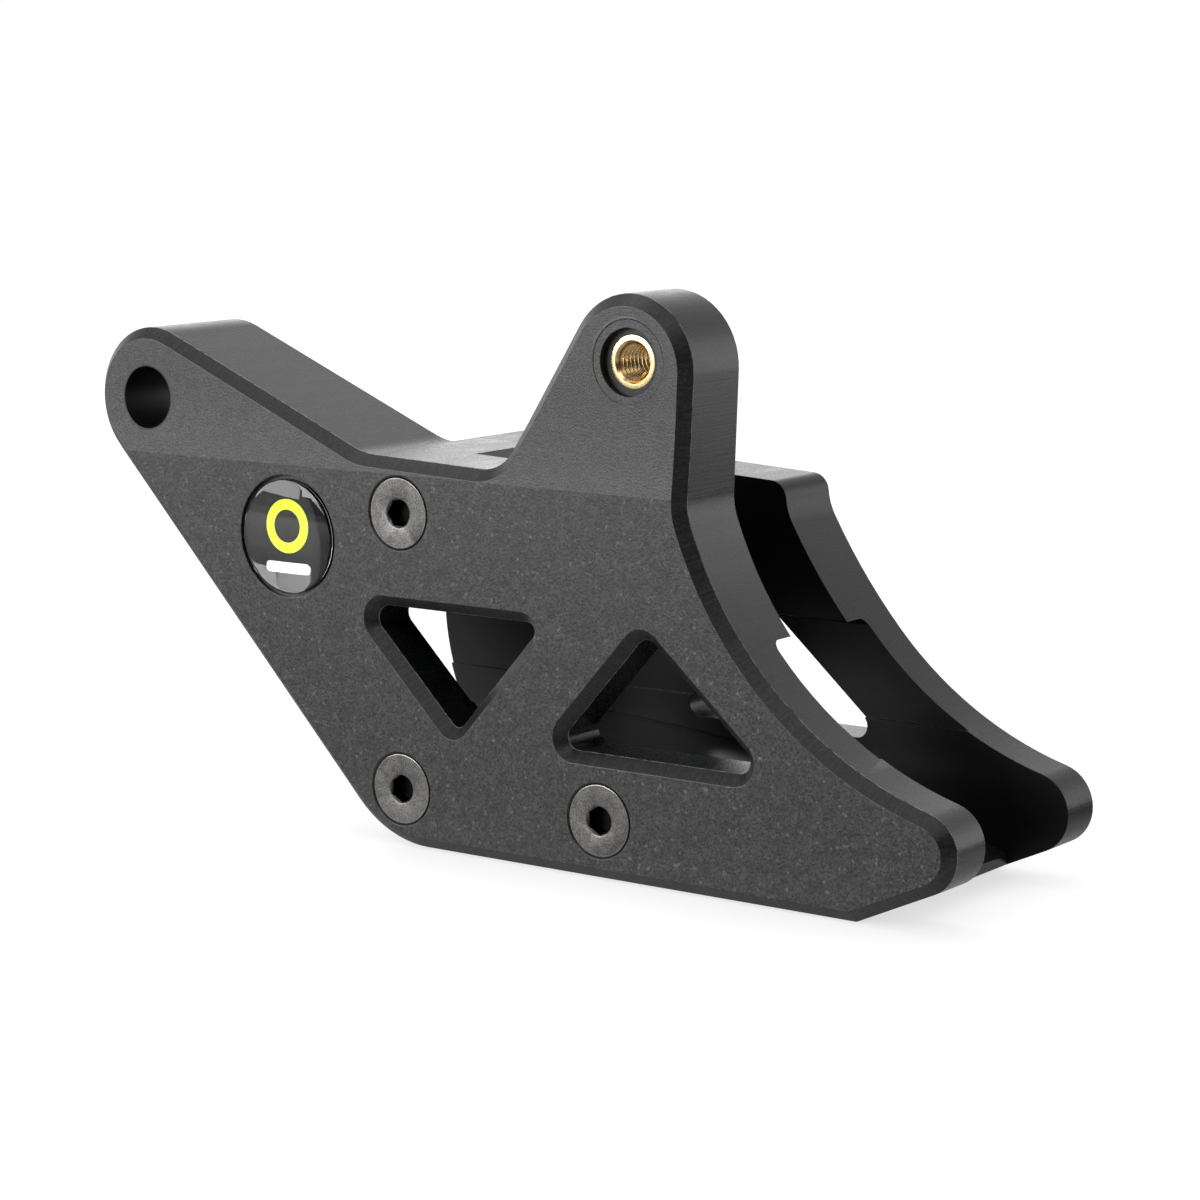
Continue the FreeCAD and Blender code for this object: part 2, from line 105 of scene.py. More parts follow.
class Graph:
    """Node tree, with short ways to add nodes and join them."""

    def __init__(self, tree: bpy.types.NodeTree) -> None:
        """Starts on a tree.

        Args:
            tree: Node tree of a material or world.
        """
        self.tree = tree

    def add(self, kind: str, **settings: Any) -> bpy.types.Node:
        """Adds a node.

        Args:
            kind: Type of the node, without its ShaderNode prefix.
            settings: Properties of the node.

        Returns:
            The node.
        """
        node = self.tree.nodes.new("ShaderNode" + kind)
        for key, value in settings.items():
            setattr(node, key, value)
        return node

    def feed(self, socket: Socket, value: Any) -> None:
        """Gives an input a link or a plain value.

        Args:
            socket: Input of a node.
            value: Output socket, number, colour or vector.
        """
        if isinstance(value, Socket):
            self.tree.links.new(value, socket)
        else:
            socket.default_value = value

    def math(self, operation: str, a: Any, b: Any = 0.0, c: Any = 0.0, clamp: bool = False) -> Socket:
        """Number from up to three numbers.

        Args:
            operation: Name of the Math operation.
            a: First number or output.
            b: Second number or output.
            c: Third number or output.
            clamp: Whether the result is held between 0 and 1.

        Returns:
            Output of the Math node.
        """
        node = self.add("Math", operation=operation, use_clamp=clamp)
        for socket, value in zip(node.inputs, (a, b, c)):
            self.feed(socket, value)
        return node.outputs[0]

    def product(self, *factors: Any) -> Socket:
        """Product of two or more numbers or outputs."""
        result = factors[0]
        for factor in factors[1:]:
            result = self.math("MULTIPLY", result, factor)
        return result

    def total(self, *terms: Any) -> Socket:
        """Sum of two or more numbers or outputs."""
        result = terms[0]
        for term in terms[1:]:
            result = self.math("ADD", result, term)
        return result

    def linear(self, value: Any, slope: Any, start: Any) -> Socket:
        """Number times a slope, plus a start."""
        return self.math("MULTIPLY_ADD", value, slope, start)

    def rest(self, share: Any) -> Socket:
        """What a share leaves of 1, held between 0 and 1."""
        return self.math("SUBTRACT", 1.0, share, clamp=True)

    def vector(self, operation: str, a: Any, b: Any = (0.0, 0.0, 0.0)) -> Socket:
        """Vector from up to two vectors, or number for a dot product, a length or a distance.

        Args:
            operation: Name of the Vector Math operation.
            a: First vector or output.
            b: Second vector or output.

        Returns:
            Output of the Vector Math node.
        """
        node = self.add("VectorMath", operation=operation)
        self.feed(node.inputs[0], a)
        self.feed(node.inputs[1], b)
        return node.outputs["Value" if operation in ("DOT_PRODUCT", "LENGTH", "DISTANCE") else "Vector"]

    def scaled(self, vector: Any, scale: Any) -> Socket:
        """Vector times a number or output."""
        node = self.add("VectorMath", operation="SCALE")
        self.feed(node.inputs[0], vector)
        self.feed(node.inputs["Scale"], scale)
        return node.outputs["Vector"]

    def between(self, value: Any, low: float, high: float) -> Socket:
        """Number that goes smoothly from 0 at the low value to 1 at the high one.

        Args:
            value: Number or output.
            low: Value that gives 0.
            high: Value that gives 1.

        Returns:
            Output of the Map Range node.
        """
        node = self.add("MapRange", interpolation_type="SMOOTHSTEP")
        self.feed(node.inputs["Value"], value)
        node.inputs["From Min"].default_value = low
        node.inputs["From Max"].default_value = high
        return node.outputs["Result"]

    def noise(self, place: Any, pitch: float, detail: float, rough: float) -> Socket:
        """Noise with a feature size.

        Args:
            place: Vector that the noise is read at, in metres.
            pitch: Feature size, in metres.
            detail: Octaves.
            rough: Strength of each finer octave.

        Returns:
            Output between 0 and 1.
        """
        node = self.add("TexNoise")
        self.feed(node.inputs["Vector"], place)
        node.inputs["Scale"].default_value = 1.0 / pitch
        node.inputs["Detail"].default_value = detail
        node.inputs["Roughness"].default_value = rough
        return node.outputs["Fac"]

    def dots(self, place: Any, cell: float, radius: float, share: float) -> Socket:
        """Scattered round dots.

        Args:
            place: Vector that the dots are read at, in metres.
            cell: Mean distance between places for a dot, in metres.
            radius: Radius of a dot, in metres.
            share: Share of the places that get no dot.

        Returns:
            Output that is 1 inside a dot and 0 outside.
        """
        node = self.add("TexVoronoi", feature="F1")
        self.feed(node.inputs["Vector"], place)
        node.inputs["Scale"].default_value = 1.0 / cell
        inside = self.rest(self.between(node.outputs["Distance"], 0.5 * radius / cell, 1.3 * radius / cell))
        pick = self.add("SeparateColor")
        self.feed(pick.inputs[0], node.outputs["Color"])
        return self.product(inside, self.between(pick.outputs[0], share, 1.0))

    def tint(self, colour: Colour, tone: Any) -> Socket:
        """Colour made darker or lighter by a number that may pass 1.

        Args:
            colour: The plain colour.
            tone: Number or output that it is multiplied by.

        Returns:
            Vector output that a colour input takes.
        """
        return self.scaled(colour[:3], tone)

    def blend(self, share: Any, a: Any, b: Any) -> Socket:
        """Colour between two colours.

        Args:
            share: Share of the second colour.
            a: First colour or output.
            b: Second colour or output.

        Returns:
            Output of the Mix node.
        """
        node = self.add("Mix", data_type="RGBA")
        colours = [s for s in node.inputs if s.type == "RGBA"]
        self.feed(node.inputs[0], share)
        self.feed(colours[0], a)
        self.feed(colours[1], b)
        return next(s for s in node.outputs if s.type == "RGBA")

    def bump(self, height: Any, depth: float) -> Socket:
        """Surface relief.

        Args:
            height: Height of the relief, as a share of its depth.
            depth: Depth of the relief, in metres.

        Returns:
            Normal output.
        """
        node = self.add("Bump")
        node.inputs["Distance"].default_value = depth
        self.feed(node.inputs["Height"], height)
        return node.outputs["Normal"]

    def place(self) -> Socket:
        """Object coordinates, in metres."""
        return self.add("TexCoord").outputs["Object"]

    def facing(self) -> Socket:
        """Direction of each flat face."""
        return self.add("NewGeometry").outputs["True Normal"]

    def split(self, vector: Any) -> list[Socket]:
        """The X, Y and Z of a vector."""
        node = self.add("SeparateXYZ")
        self.feed(node.inputs[0], vector)
        return list(node.outputs)

    def joined(self, x: Any, y: Any) -> Socket:
        """Vector of two numbers and a zero."""
        node = self.add("CombineXYZ")
        self.feed(node.inputs[0], x)
        self.feed(node.inputs[1], y)
        return node.outputs[0]

    def rays(self) -> tuple[Socket, Socket]:
        """Kinds of ray that meet the surface.

        Returns:
            1 for what the camera sees, also through clear things, and 1 for a reflection.
        """
        path = self.add("LightPath")
        seen = self.math("MAXIMUM", path.outputs["Is Camera Ray"], path.outputs["Is Transmission Ray"])
        return seen, self.product(path.outputs["Is Glossy Ray"], self.rest(seen))


class Finish(Graph):
    """Node tree of a new material with one Principled shader."""

    def __init__(self, name: str) -> None:
        """Starts the material.

        Args:
            name: Name of the material.
        """
        self.material = bpy.data.materials.new(name)
        self.material.use_nodes = True
        super().__init__(self.material.node_tree)
        self.shader = next(n for n in self.tree.nodes if n.type == "BSDF_PRINCIPLED")


def grey(level: float, warm: float = 0.0) -> Colour:
    """Neutral colour.

    Args:
        level: Linear brightness.
        warm: Share by which red is over and blue is under that level.

    Returns:
        Colour with full alpha.
    """
    return (level * (1.0 + warm), level, level * (1.0 - warm), 1.0)


@dataclass(frozen=True)
class MilledPlastic:
    """Matt black plastic: flecked plate skin, darker chamfers with tool ticks, satin milled sides.

    Levels are linear brightness; the tunnel and hole levels are painted shade, and the pale edge level is a
    painted highlight. Facings are spans of how far a face looks across the guide, from 0 for a milled side
    to 1 for the plate's flat face.
    """

    cheek: Cheek
    skin: float = 0.018
    chamfer: float = 0.0045
    side: float = 0.011
    # Painted shade: level of the faces well inside the guide, in the chain tunnel, where shade falls.
    tunnel_shade: float = 0.002
    # Painted shade: level of the bore and of the recess round the insert.
    hole_shade: float = 0.003
    # Painted highlight: level of the pale broken line along the eased edges.
    edge_highlight: float = 0.24
    skin_facing: Span = (0.90, 0.98)
    side_facing: Span = (0.15, 0.45)
    # Facings where the painted edge highlight starts and ends.
    highlight_starts: Span = (0.12, 0.20)
    highlight_ends: Span = (0.55, 0.64)
    step_facing: Span = (0.3, 0.5)
    skin_warmth: float = 0.03
    chamfer_warmth: float = 0.01
    side_warmth: float = -0.12
    roughness: float = 0.41
    near_gloss: float = 0.5
    far_gloss: float = 0.3
    relief_depth: float = 0.014 * MM
    inner_depth: Span = (14.5 * MM, 15.5 * MM)
    fold_edge: Span = (FOLD_Z * MM - 0.2 * MM, FOLD_Z * MM + 0.2 * MM)
    step_z: float = -47.0 * MM
    step_reach: Span = (0.7 * MM, 0.9 * MM)
    grain_pitch: float = 0.34 * MM
    mottle_pitch: float = 9 * MM
    cloud_pitch: float = 2.4 * MM
    speck_pitch: float = 1.7 * MM
    dust_cell: float = 1.3 * MM
    dust_r: float = 0.26 * MM
    pit_cell: float = 2.1 * MM
    pit_r: float = 0.14 * MM
    pit_shift: Place = (0.31, 0.17, 0.0)
    highlight_break_pitch: float = 1.4 * MM
    tick_pitch: float = 0.16 * MM
    scuff_pitch: float = 0.42 * MM
    worn_pitch: float = 1.3 * MM
    line_pitch: float = 0.30 * MM
    pass_pitch: float = 1.6 * MM
    smear_pitch: float = 2.8 * MM
    bore_r: float = 5.6 * MM
    insert: Span = (INSERT_PLACE[0] * MM, INSERT_PLACE[1] * MM)
    mouth_edge: Span = (5.22 * MM, 5.36 * MM)
    spot_edge: Span = (6.4 * MM, 6.6 * MM)
    mark_r: float = 6.9 * MM
    mark_edge: Span = (0.05 * MM, 0.22 * MM)
    mark_reach: Span = (4.5 * MM, 7.0 * MM)

    def material(self) -> bpy.types.Material:
        """Builds the finish.

        Returns:
            The material.
        """
        g = Finish(f"milled plastic {self.cheek.value}")
        place = g.place()
        normal = g.facing()
        x, y, z = g.split(place)
        flat = g.joined(x, z)
        across = g.math("ABSOLUTE", g.split(normal)[1])
        by_insert = g.vector("LENGTH", self.past_insert(g, flat))
        off_insert = g.between(by_insert, *self.spot_edge)
        is_skin = g.between(across, *self.skin_facing)
        is_side = g.product(g.rest(g.between(across, *self.side_facing)), off_insert)
        is_chamfer = g.product(g.rest(g.total(is_skin, is_side)), off_insert)
        is_inner = g.rest(g.between(g.math("ABSOLUTE", y), *self.inner_depth))
        on_step = self.on_step(g, z, normal, is_inner)
        # Painted shade: faces well inside the guide that look across it, and the low step there, get the
        # dark tunnel level.
        in_tunnel_shade = g.math("MAXIMUM", g.product(is_inner, g.rest(is_side)), on_step)
        # Painted shade: the bore and the recess round the insert get the dark hole level.
        in_bore = g.rest(g.between(g.vector("LENGTH", flat), 0.98 * self.bore_r, self.bore_r))
        in_hole_shade = g.math("MAXIMUM", in_bore, g.rest(g.between(by_insert, *self.mouth_edge)))

        grain = g.between(g.noise(place, self.grain_pitch, 2.0, 0.7), 0.30, 0.70)
        skin_tone, pits = self.skin_tone(g, flat, grain)
        ticks, chamfer_tone = self.chamfer_tone(g, place, normal)
        lines, smear, side_tone = self.side_tone(g, place)
        skin = g.tint(grey(self.skin, self.skin_warmth), skin_tone)
        chamfer = g.tint(grey(self.chamfer, self.chamfer_warmth), chamfer_tone)
        side = g.tint(grey(self.side, self.side_warmth), side_tone)
        colour = g.blend(is_side, g.blend(is_chamfer, skin, chamfer), side)
        # Painted highlight: a pale broken line along the eased edges of the outer faces.
        colour = g.blend(self.edge_highlight_mask(g, place, across, off_insert, is_inner), colour, grey(self.edge_highlight))
        # Painted shade over the tunnel faces, varied a little by the smears.
        colour = g.blend(in_tunnel_shade, colour, g.tint(grey(self.tunnel_shade), g.linear(smear, 0.8, 0.6)))
        g.feed(g.shader.inputs["Base Color"], g.blend(in_hole_shade, colour, grey(self.hole_shade)))

        worn = g.product(g.between(smear, 0.45, 0.8), is_side)
        uneven = g.product(g.math("SUBTRACT", grain, 0.5), 0.12)
        rough = g.total(
            g.linear(is_side, -0.11, self.roughness), g.product(is_chamfer, 0.04), uneven,
            g.product(worn, -0.10), g.product(in_tunnel_shade, -0.02))
        g.feed(g.shader.inputs["Roughness"], g.math("ADD", rough, g.product(in_hole_shade, 0.15), clamp=True))
        gloss = self.near_gloss if self.cheek is Cheek.NEAR else self.far_gloss
        g.shader.inputs["Specular IOR Level"].default_value = gloss

        grained = g.math("SUBTRACT", g.linear(is_skin, 0.9, 0.1), g.product(in_tunnel_shade, 0.8))
        relief = g.total(
            g.product(grain, grained), g.product(pits, -1.5), g.product(ticks, is_chamfer, 1.6),
            g.product(lines, is_side, 0.9))
        g.feed(g.shader.inputs["Normal"], g.bump(relief, self.relief_depth))
        return g.material

    def past_insert(self, g: Finish, flat: Any) -> Socket:
        """Place on the plate, measured from the insert's axis."""
        return g.vector("SUBTRACT", flat, (*self.insert, 0.0))

    def on_step(self, g: Finish, z: Any, normal: Any, is_inner: Any) -> Socket:
        """Where the low step between the chain tunnel and the wider part under it is.

        Args:
            g: Finish that it is part of.
            z: Height on the piece.
            normal: Direction of the face.
            is_inner: Where the place is well inside the guide.

        Returns:
            Output that is 1 on the step and 0 elsewhere.
        """
        by_step = g.math("ABSOLUTE", g.math("SUBTRACT", z, self.step_z))
        upright = g.between(g.math("ABSOLUTE", g.split(normal)[2]), *self.step_facing)
        return g.product(g.rest(g.between(by_step, *self.step_reach)), is_inner, upright)

    def edge_highlight_mask(self, g: Finish, place: Any, across: Any, off_insert: Any, is_inner: Any) -> Socket:
        """Where a painted highlight, a pale broken line, runs along the eased edges of the outer faces.

        Args:
            g: Finish that it is part of.
            place: Place on the piece.
            across: How far the face looks across the guide.
            off_insert: Where the insert's spot face isn't.
            is_inner: Where the place is well inside the guide.

        Returns:
            Output between 0 and 1.
        """
        started = g.between(across, *self.highlight_starts)
        band = g.math("SUBTRACT", started, g.between(across, *self.highlight_ends), clamp=True)
        broken = g.between(g.noise(place, self.highlight_break_pitch, 3.0, 0.7), 0.30, 0.62)
        return g.product(band, off_insert, broken, g.rest(is_inner))

    def skin_tone(self, g: Finish, flat: Any, grain: Any) -> tuple[Socket, Socket]:
        """Tone of the plate's flat skin: cloudy, grainy, with pale flecks and dark pits.

        Args:
            g: Finish that it is part of.
            flat: Place on the plate, without its depth.
            grain: Fine grain.

        Returns:
            The tone, about 1, and where the pits are.
        """
        mottle = g.noise(flat, self.mottle_pitch, 4.0, 0.6)
        cloud = g.noise(flat, self.cloud_pitch, 3.0, 0.65)
        specks = g.between(g.noise(flat, self.speck_pitch, 2.0, 0.6), 0.63, 0.73)
        dust = g.dots(flat, self.dust_cell, self.dust_r, 0.30)
        above_fold = g.between(g.split(flat)[1], *self.fold_edge)
        flecks = g.total(g.product(specks, 3.0), g.product(dust, 3.6))
        marks = g.product(flecks, g.linear(above_fold, -0.7, 1.0))
        pits = g.dots(g.vector("ADD", flat, self.pit_shift), self.pit_cell, self.pit_r, 0.5)
        tone = g.product(g.linear(mottle, 0.6, 0.7), g.linear(cloud, 2.4, -0.2), g.linear(grain, 2.2, -0.1))
        return g.total(tone, marks, g.product(self.tool_mark(g, flat), 2.5), g.product(pits, -0.6)), pits

    def tool_mark(self, g: Finish, flat: Any) -> Socket:
        """Faint arc that the spot-facing cutter left above and in front of the insert.

        Args:
            g: Finish that it is part of.
            flat: Place on the plate, without its depth.

        Returns:
            Output that is 1 on the arc and 0 elsewhere.
        """
        offset = self.past_insert(g, flat)
        off_x, off_z, _ = g.split(offset)
        width = g.math("ABSOLUTE", g.math("SUBTRACT", g.vector("LENGTH", offset), self.mark_r))
        upward = g.between(g.math("SUBTRACT", off_z, g.product(off_x, 0.6)), *self.mark_reach)
        return g.product(g.rest(g.between(width, *self.mark_edge)), upward)

    def chamfer_tone(self, g: Finish, place: Any, normal: Any) -> tuple[Socket, Socket]:
        """Tone of the chamfers: tool ticks that run straight across them, and worn spots.

        Args:
            g: Finish that it is part of.
            place: Place on the piece.
            normal: Direction of the face.

        Returns:
            The ticks, between 0 and 1, and the tone.
        """
        along = g.vector("NORMALIZE", g.vector("CROSS_PRODUCT", normal, (0.0, 1.0, 0.0)))
        down = g.vector("NORMALIZE", g.vector("CROSS_PRODUCT", normal, along))
        kept = g.vector("SUBTRACT", place, g.scaled(down, g.vector("DOT_PRODUCT", place, down)))
        lines = g.noise(kept, self.tick_pitch, 1.0, 0.5)
        ticks = g.linear(g.noise(place, self.scuff_pitch, 3.0, 0.75), 0.55, g.product(lines, 0.45))
        worn = g.between(g.noise(place, self.worn_pitch, 3.0, 0.65), 0.54, 0.72)
        return ticks, g.total(g.linear(g.between(ticks, 0.44, 0.62), 4.4, 0.1), g.product(worn, 1.2))

    def side_tone(self, g: Finish, place: Any) -> tuple[Socket, Socket, Socket]:
        """Tone of the milled sides: cutter lines across them, faint passes and smears.

        Args:
            g: Finish that it is part of.
            place: Place on the piece.

        Returns:
            The cutter lines and the smears, both between 0 and 1, and the tone.
        """
        lines = g.noise(g.vector("MULTIPLY", place, (1.0, 0.02, 1.0)), self.line_pitch, 2.0, 0.6)
        passes = g.noise(g.vector("MULTIPLY", place, (0.03, 1.0, 0.03)), self.pass_pitch, 2.0, 0.5)
        smear = g.noise(g.vector("MULTIPLY", place, (1.0, 0.25, 1.0)), self.smear_pitch, 4.0, 0.65)
        tone = g.total(g.linear(lines, 1.6, -0.1), g.product(passes, 0.6))
        return lines, smear, g.product(tone, g.linear(smear, 1.8, 0.1))


@dataclass(frozen=True)
class RunnerPlastic:
    """Black sliding plastic, smoothed along its length where the chain runs."""

    level: float = 0.012
    plane_pitch: float = 0.35 * MM
    cloud_pitch: float = 7 * MM
    relief_depth: float = 0.008 * MM

    def material(self) -> bpy.types.Material:
        """Builds the finish."""
        g = Finish("runner plastic")
        place = g.place()
        planed = g.noise(g.vector("MULTIPLY", place, (0.04, 1.0, 1.0)), self.plane_pitch, 3.0, 0.6)
        cloud = g.noise(place, self.cloud_pitch, 3.0, 0.55)
        tone = g.product(g.linear(planed, 0.6, 0.7), g.linear(cloud, 0.5, 0.75))
        g.feed(g.shader.inputs["Base Color"], g.tint(grey(self.level), tone))
        g.feed(g.shader.inputs["Roughness"], g.linear(cloud, 0.16, 0.22))
        g.feed(g.shader.inputs["Normal"], g.bump(planed, self.relief_depth))
        return g.material


@dataclass(frozen=True)
class TurnedMetal:
    """Metal with fine rings from the lathe about an axis along Y, plus grain and wear.

    Its rim, at rim_r, is rubbed bright. Deeper than a given depth, and between two given distances from the
    axis, it turns to a colour of painted shade: the shade in a thread's grooves or in a socket.
    """

    name: str
    colour: Colour
    worn: Colour
    centre: Span
    roughness: float
    rim_r: float = 1.0
    # Painted shade: its radii from the axis, the depth past which it starts, and its colour.
    shade_r: Span = (0.0, 0.0)
    shade_y: float = -1.0
    shade_colour: Colour = (0.01, 0.01, 0.01, 1.0)
    ring_pitch: float = 0.12 * MM
    grain_pitch: float = 0.30 * MM
    wear_pitch: float = 1.3 * MM
    grain_depth: float = 0.004 * MM
    rub_starts: float = 0.30 * MM
    rub_ends: float = 0.12 * MM
    # Depth over which the painted shade comes in.
    shade_fade: float = 0.5 * MM

    def material(self) -> bpy.types.Material:
        """Builds the finish."""
        g = Finish(self.name)
        place = g.place()
        local = g.vector("SUBTRACT", place, (self.centre[0] * MM, 0.0, self.centre[1] * MM))
        x, y, z = g.split(local)
        radius = g.math("SQRT", g.total(g.product(x, x), g.product(z, z)))
        rings = g.noise(g.joined(radius, y), self.ring_pitch, 2.0, 0.6)
        grain = g.noise(place, self.grain_pitch, 4.0, 0.75)
        wear = g.noise(place, self.wear_pitch, 4.0, 0.65)
        share = g.between(g.total(g.product(wear, 0.25), g.product(grain, 0.75)), 0.42, 0.58)
        rubbed = g.between(radius, self.rim_r - self.rub_starts, self.rim_r - self.rub_ends)
        share = g.math("ADD", g.product(share, 0.75), g.product(rubbed, 0.6), clamp=True)
        # Painted shade: deep in the bore or socket, between two radii, the metal turns to the shade colour.
        below = g.between(y, self.shade_y, self.shade_y + self.shade_fade)
        in_shade = g.product(g.between(radius, *self.shade_r), below)
        metal = g.blend(share, self.colour, self.worn)
        g.feed(g.shader.inputs["Base Color"], g.blend(in_shade, metal, self.shade_colour))
        g.shader.inputs["Metallic"].default_value = 1.0
        rough = g.linear(g.math("SUBTRACT", grain, 0.5), 0.18, self.roughness)
        g.feed(g.shader.inputs["Roughness"], g.math("SUBTRACT", rough, g.product(rubbed, 0.14)))
        g.feed(g.shader.inputs["Normal"], g.bump(g.total(rings, g.product(grain, 0.8)), self.grain_depth))
        return g.material


@dataclass(frozen=True)
class Print:
    """Ink on the badge disc, with a faint unevenness."""

    name: str
    colour: Colour
    cloud_pitch: float = 1.2 * MM
    roughness: float = 0.5
    gloss: float = 0.03

    def material(self) -> bpy.types.Material:
        """Builds the finish."""
        g = Finish(self.name)
        cloud = g.noise(g.place(), self.cloud_pitch, 2.0, 0.5)
        g.feed(g.shader.inputs["Base Color"], g.tint(self.colour, g.linear(cloud, 0.16, 0.92)))
        g.shader.inputs["Roughness"].default_value = self.roughness
        g.shader.inputs["Specular IOR Level"].default_value = self.gloss
        return g.material


@dataclass(frozen=True)
class ClearResin:
    """Clear cast dome with a faint waviness."""

    wave_pitch: float = 5 * MM
    wave_depth: float = 0.006 * MM
    ior: float = 1.4

    def material(self) -> bpy.types.Material:
        """Builds the finish."""
        g = Finish("clear resin")
        wave = g.noise(g.place(), self.wave_pitch, 2.0, 0.5)
        g.shader.inputs["Base Color"].default_value = grey(0.98)
        g.shader.inputs["Transmission Weight"].default_value = 1.0
        g.shader.inputs["IOR"].default_value = self.ior
        g.shader.inputs["Roughness"].default_value = 0.0
        g.feed(g.shader.inputs["Normal"], g.bump(wave, self.wave_depth))
        return g.material


@dataclass(frozen=True)
class Nylon:
    """Pale nylon of a locking ring, with moulded grain."""

    level: float = 0.62
    warmth: float = 0.03
    grain_pitch: float = 0.3 * MM
    grain_depth: float = 0.006 * MM
    roughness: float = 0.42
    shine_through: float = 0.1

    def material(self) -> bpy.types.Material:
        """Builds the finish."""
        g = Finish("nylon ring")
        grain = g.noise(g.place(), self.grain_pitch, 3.0, 0.6)
        colour = g.blend(grain, grey(0.8 * self.level, self.warmth), grey(self.level, self.warmth))
        g.feed(g.shader.inputs["Base Color"], colour)
        g.shader.inputs["Roughness"].default_value = self.roughness
        g.shader.inputs["Subsurface Weight"].default_value = self.shine_through
        g.feed(g.shader.inputs["Normal"], g.bump(grain, self.grain_depth))
        return g.material


def put_down() -> None:
    """Leaves edit mode and selects nothing."""
    if bpy.context.object is not None and bpy.context.object.mode != "OBJECT":
        bpy.ops.object.mode_set(mode="OBJECT")
    bpy.ops.object.select_all(action="DESELECT")


def take_up(piece: bpy.types.Object) -> None:
    """Makes one piece the only selected and the active one.

    Args:
        piece: The piece.
    """
    put_down()
    piece.select_set(True)
    bpy.context.view_layer.objects.active = piece


def open_up(piece: bpy.types.Object, kind: str, whole: bool = False) -> None:
    """Opens one piece for editing.

    Args:
        piece: The piece.
        kind: VERT, EDGE or FACE, whichever is selected in it.
        whole: Whether all of it is selected, or nothing.
    """
    take_up(piece)
    bpy.ops.object.mode_set(mode="EDIT")
    bpy.ops.mesh.select_mode(type=kind)
    bpy.ops.mesh.select_all(action="SELECT" if whole else "DESELECT")


def pick_faces(piece: bpy.types.Object, wanted: Callable[[bpy.types.MeshPolygon], bool]) -> None:
    """Opens a piece for editing with only some faces selected.

    Args:
        piece: The piece.
        wanted: Says of a face whether it is one of them.
    """
    open_up(piece, "FACE")
    bpy.ops.object.mode_set(mode="OBJECT")
    for face in piece.data.polygons:
        face.select = wanted(face)
    bpy.ops.object.mode_set(mode="EDIT")


def face_outwards() -> None:
    """Turns every face of the piece being edited outwards and closes it."""
    bpy.ops.mesh.select_all(action="SELECT")
    bpy.ops.mesh.normals_make_consistent(inside=False)
    bpy.ops.object.mode_set(mode="OBJECT")


def dress(piece: bpy.types.Object, material: bpy.types.Material) -> None:
    """Gives a whole piece one material.

    Args:
        piece: The piece.
        material: Its finish.
    """
    piece.data.materials.clear()
    piece.data.materials.append(material)


def settle(piece: bpy.types.Object) -> None:
    """Moves a piece's place, turn and scale into its mesh.

    Args:
        piece: The piece.
    """
    take_up(piece)
    bpy.ops.object.transform_apply(location=True, rotation=True, scale=True)


def finish_modifiers(piece: bpy.types.Object) -> None:
    """Applies every modifier of a piece in order.

    Args:
        piece: The piece.
    """
    take_up(piece)
    for name in [m.name for m in piece.modifiers]:
        bpy.ops.object.modifier_apply(modifier=name)


def smooth(piece: bpy.types.Object, degrees: float) -> None:
    """Shades a piece smooth, with edges over an angle kept sharp.

    Args:
        piece: The piece.
        degrees: Angle past which an edge stays sharp.
    """
    take_up(piece)
    bpy.ops.object.shade_smooth_by_angle(angle=math.radians(degrees), keep_sharp_edges=True)


def bevel(piece: bpy.types.Object, width: float, steps: int, degrees: float, held: bool = True) -> None:
    """Bevels the edges of a piece that turn by more than an angle.

    Args:
        piece: The piece.
        width: Width of the bevel, in metres.
        steps: Facets across it.
        degrees: Angle past which an edge is bevelled.
        held: Whether bevels that would overlap are held back.
    """
    edge = piece.modifiers.new("Bevelled edges", "BEVEL")
    edge.width = width
    edge.segments = steps
    edge.limit_method = "ANGLE"
    edge.angle_limit = math.radians(degrees)
    edge.use_clamp_overlap = held
    finish_modifiers(piece)


def join_to_body(piece: bpy.types.Object, material: bpy.types.Material, slot: Slot, *nodes: str) -> None:
    """Dresses a finished piece and fixes it to the guide.

    Args:
        piece: The piece, in place.
        material: Its finish.
        slot: Material slot of the record that the finish is for; not used.
        nodes: Solids that it stands in for.
    """
    dress(piece, material)
    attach(piece, "root")
    if nodes:
        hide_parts(*nodes)
    log.info("%s: %d faces", piece.name, len(piece.data.polygons))


def eased_copy(node: str, name: str, width: float) -> bpy.types.Object:
    """Copies a solid and takes the sharpness off its edges.

    Args:
        node: Solid to copy.
        name: Name of the new piece.
        width: Width of the eased edge, in metres.

    Returns:
        The piece, in the solid's place.
    """
    take_up(frame["nodes"][node])
    bpy.ops.object.duplicate()
    piece = bpy.context.object
    piece.name = name
    piece.data.name = name
    piece.parent = None
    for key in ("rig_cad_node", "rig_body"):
        del piece[key]
    open_up(piece, "VERT", whole=True)
    bpy.ops.mesh.remove_doubles(threshold=SAME_PLACE)
    bpy.ops.mesh.dissolve_limited(angle_limit=math.radians(FLAT_ANGLE))
    bpy.ops.object.mode_set(mode="OBJECT")
    bevel(piece, width, steps=2, degrees=EASED_ANGLE, held=False)
    smooth(piece, SHARP_ANGLE)
    return piece


def even_shading(piece: bpy.types.Object) -> None:
    """Lets the large flat faces set the shading at their edges.

    Args:
        piece: The piece.
    """
    weight = piece.modifiers.new("Even shading", "WEIGHTED_NORMAL")
    weight.mode = "FACE_AREA"
    weight.weight = 50
    weight.keep_sharp = True
    finish_modifiers(piece)


